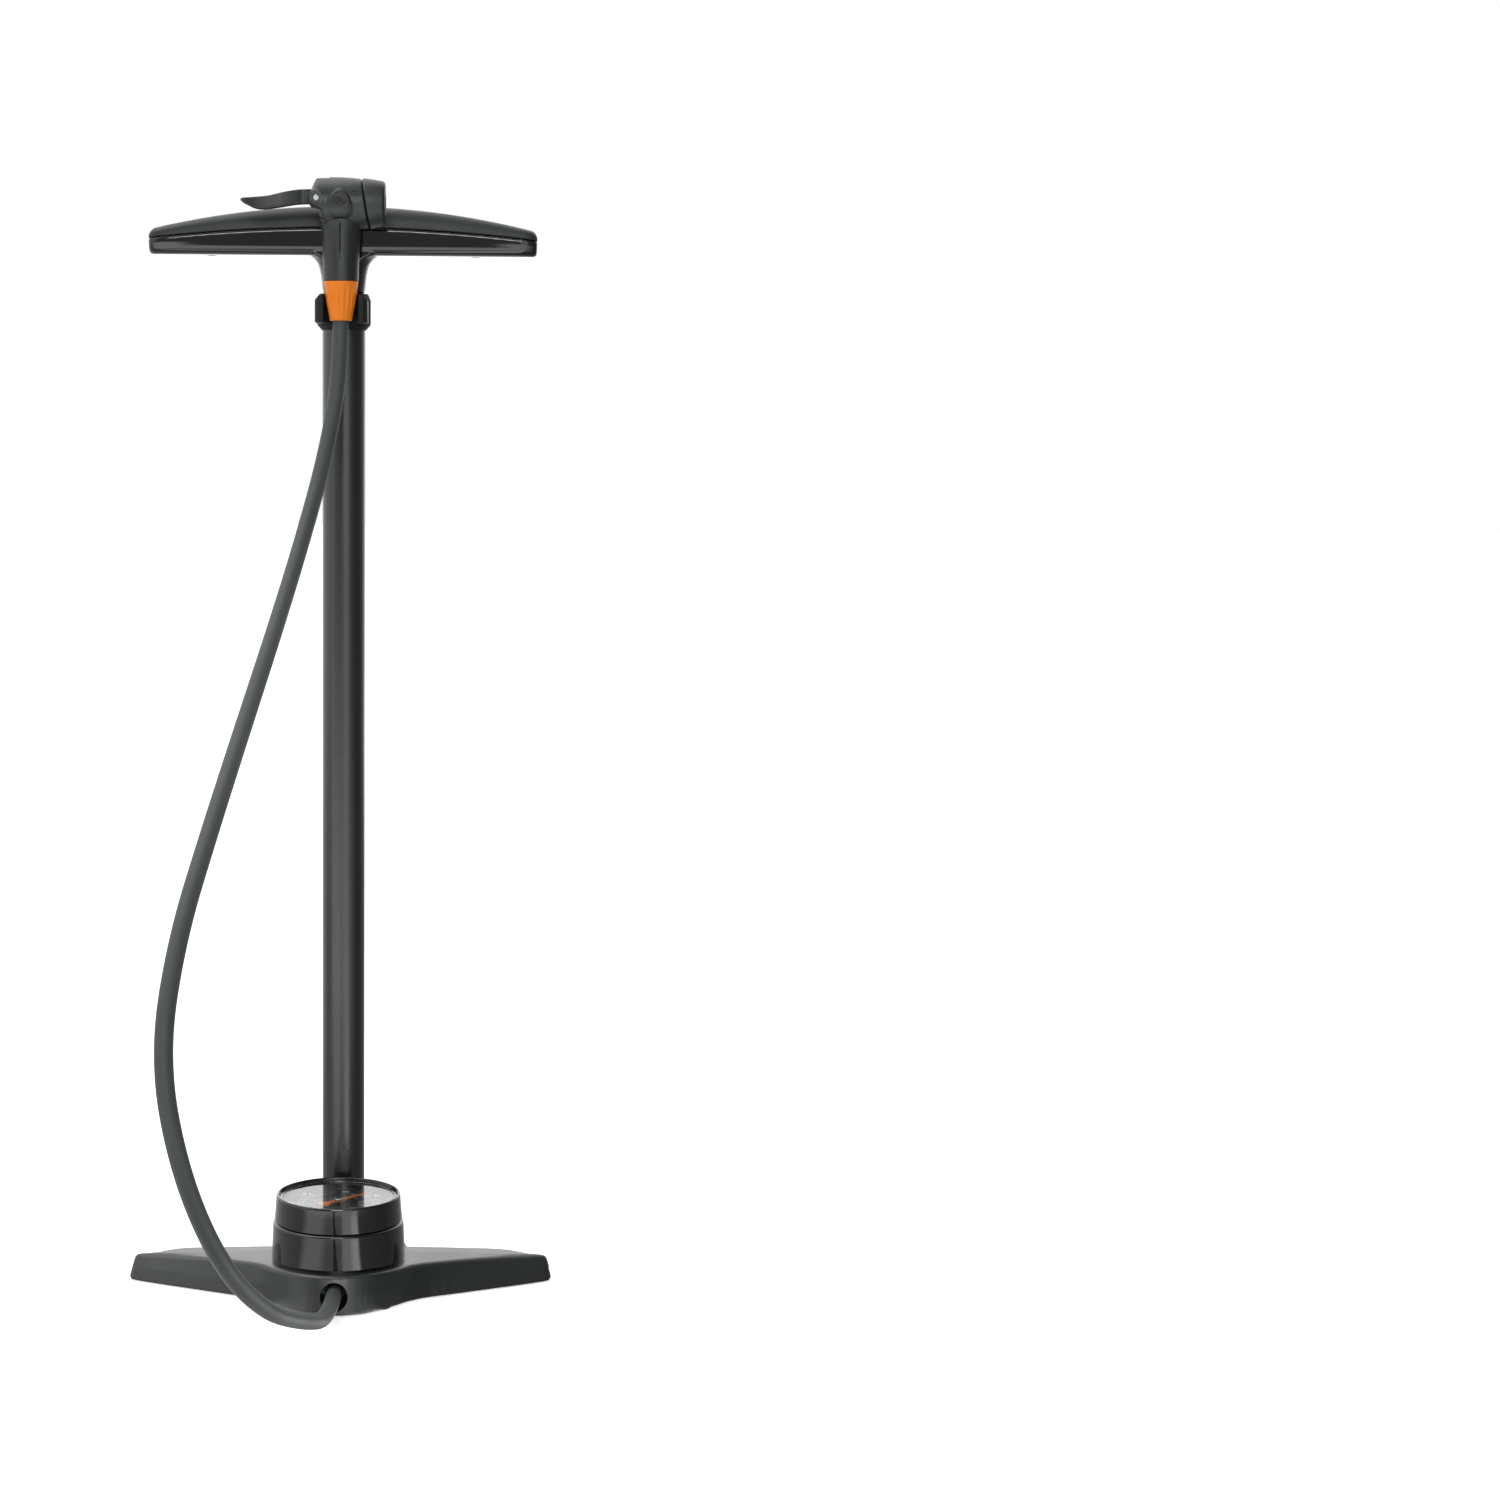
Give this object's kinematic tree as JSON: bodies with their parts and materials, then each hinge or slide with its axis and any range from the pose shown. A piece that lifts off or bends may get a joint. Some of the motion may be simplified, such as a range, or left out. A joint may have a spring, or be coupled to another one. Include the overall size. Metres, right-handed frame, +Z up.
{
  "type": "floor bike pump",
  "caption": "Upright floor pump with winged foot, top-facing dial gauge, slim barrel, cross handle, hose and thumb-lever valve head parked at the barrel cap.",
  "frame": {"origin": "barrel axis at floor level, on the underside of the pad below the barrel", "axes": "+Z up along the barrel, -Y towards the user and the gauge, +X to the right of a person facing the gauge"},
  "size_m": [0.2586, 0.4244, 0.6711],
  "materials": {
    "matte_moulded_plastic": "fine spark-eroded texture",
    "gloss_moulded_plastic": "polished mould",
    "painted_barrel": "satin black powder coat",
    "orange_plastic": "satin moulded",
    "hose_rubber": "dull extruded rubber",
    "black_rubber": "moulded",
    "brass": "machined",
    "steel": "zinc plated",
    "aluminium": "die cast",
    "acetal": "machined natural white",
    "clear_lens": "clear polycarbonate",
    "dial_print": "printed black plate",
    "badge_plate": "polished"
  },
  "bodies": {
    "pump_base": {"base_body": "matte_moulded_plastic", "foot_pads": "black_rubber", "manifold_block": "aluminium", "manifold_screws": "steel", "barrel_o_ring": "black_rubber", "check_valve_seat": "brass", "check_valve_spring": "steel", "hose_ferrule": "brass", "gauge_housing": "gloss_moulded_plastic", "gauge_bezel": "gloss_moulded_plastic", "gauge_lens": "clear_lens", "dial_plate": "dial_print", "dial_screws": "steel", "movement_frame": "brass", "bourdon_tube": "brass", "gauge_socket": "brass", "barrel_tube": "painted_barrel", "barrel_cap": "matte_moulded_plastic", "rod_bush": "acetal", "rod_wiper": "black_rubber", "hose": "hose_rubber", "hose_collar": "orange_plastic", "head_barb": "brass", "head_body": "matte_moulded_plastic", "head_neck": "matte_moulded_plastic", "head_cap": "matte_moulded_plastic", "valve_seal": "black_rubber", "lever_pin": "steel", "head_badge": "badge_plate"},
    "handle": {"handle_body": "gloss_moulded_plastic", "handle_grip": "matte_moulded_plastic", "handle_screws": "steel", "badge_ring": "gloss_moulded_plastic", "badge_disc": "matte_moulded_plastic", "rod_bolt": "steel", "piston_rod": "steel", "rod_buffer": "black_rubber", "piston_body": "acetal", "piston_seal": "black_rubber", "piston_washer": "steel", "piston_screw": "steel"},
    "lever": {"lever": "matte_moulded_plastic"},
    "plunger": {"head_plunger": "acetal", "plunger_o_ring": "black_rubber"},
    "gauge_sector": {"sector_gear": "brass"},
    "gauge_pointer": {"pointer": "orange_plastic", "pointer_arbor": "steel", "pointer_hub": "steel"},
    "check_poppet": {"check_valve_poppet": "acetal"}
  },
  "joints": [
    {"name": "handle_slide", "type": "slide", "parent": "pump_base", "child": "handle", "axis": [0, 0, 1], "range_m": [0, 0.48]},
    {"name": "lever_turn", "type": "hinge", "parent": "pump_base", "child": "lever", "pos_m": [-0.014, -0.033, 0.6582], "axis": [0, 1, 0], "range_deg": [0, 90]},
    {"name": "plunger_slide", "type": "slide", "parent": "pump_base", "child": "plunger", "axis": [1, 0, 0], "range_m": [0, 0.00252]},
    {"name": "sector_turn", "type": "hinge", "parent": "pump_base", "child": "gauge_sector", "pos_m": [-0.0145, -0.06276, 0.037], "axis": [0, 0, 1], "range_deg": [0, 30], "stiffness_Nm_per_rad": 0.0005},
    {"name": "pointer_turn", "type": "hinge", "parent": "pump_base", "child": "gauge_pointer", "pos_m": [0, -0.056, 0.055], "axis": [0, 0, -1], "range_deg": [0, 270.1]},
    {"name": "poppet_slide", "type": "slide", "parent": "pump_base", "child": "check_poppet", "axis": [0, 0, -1], "range_m": [0, 0.002], "stiffness_N_per_m": 100, "deforming": ["check_valve_spring"]}
  ],
  "couplings": [
    {"joint": "plunger_slide", "follows": "lever_turn", "m_per_rad": 0.0015915},
    {"joint": "pointer_turn", "follows": "sector_turn", "ratio": 9}
  ]
}
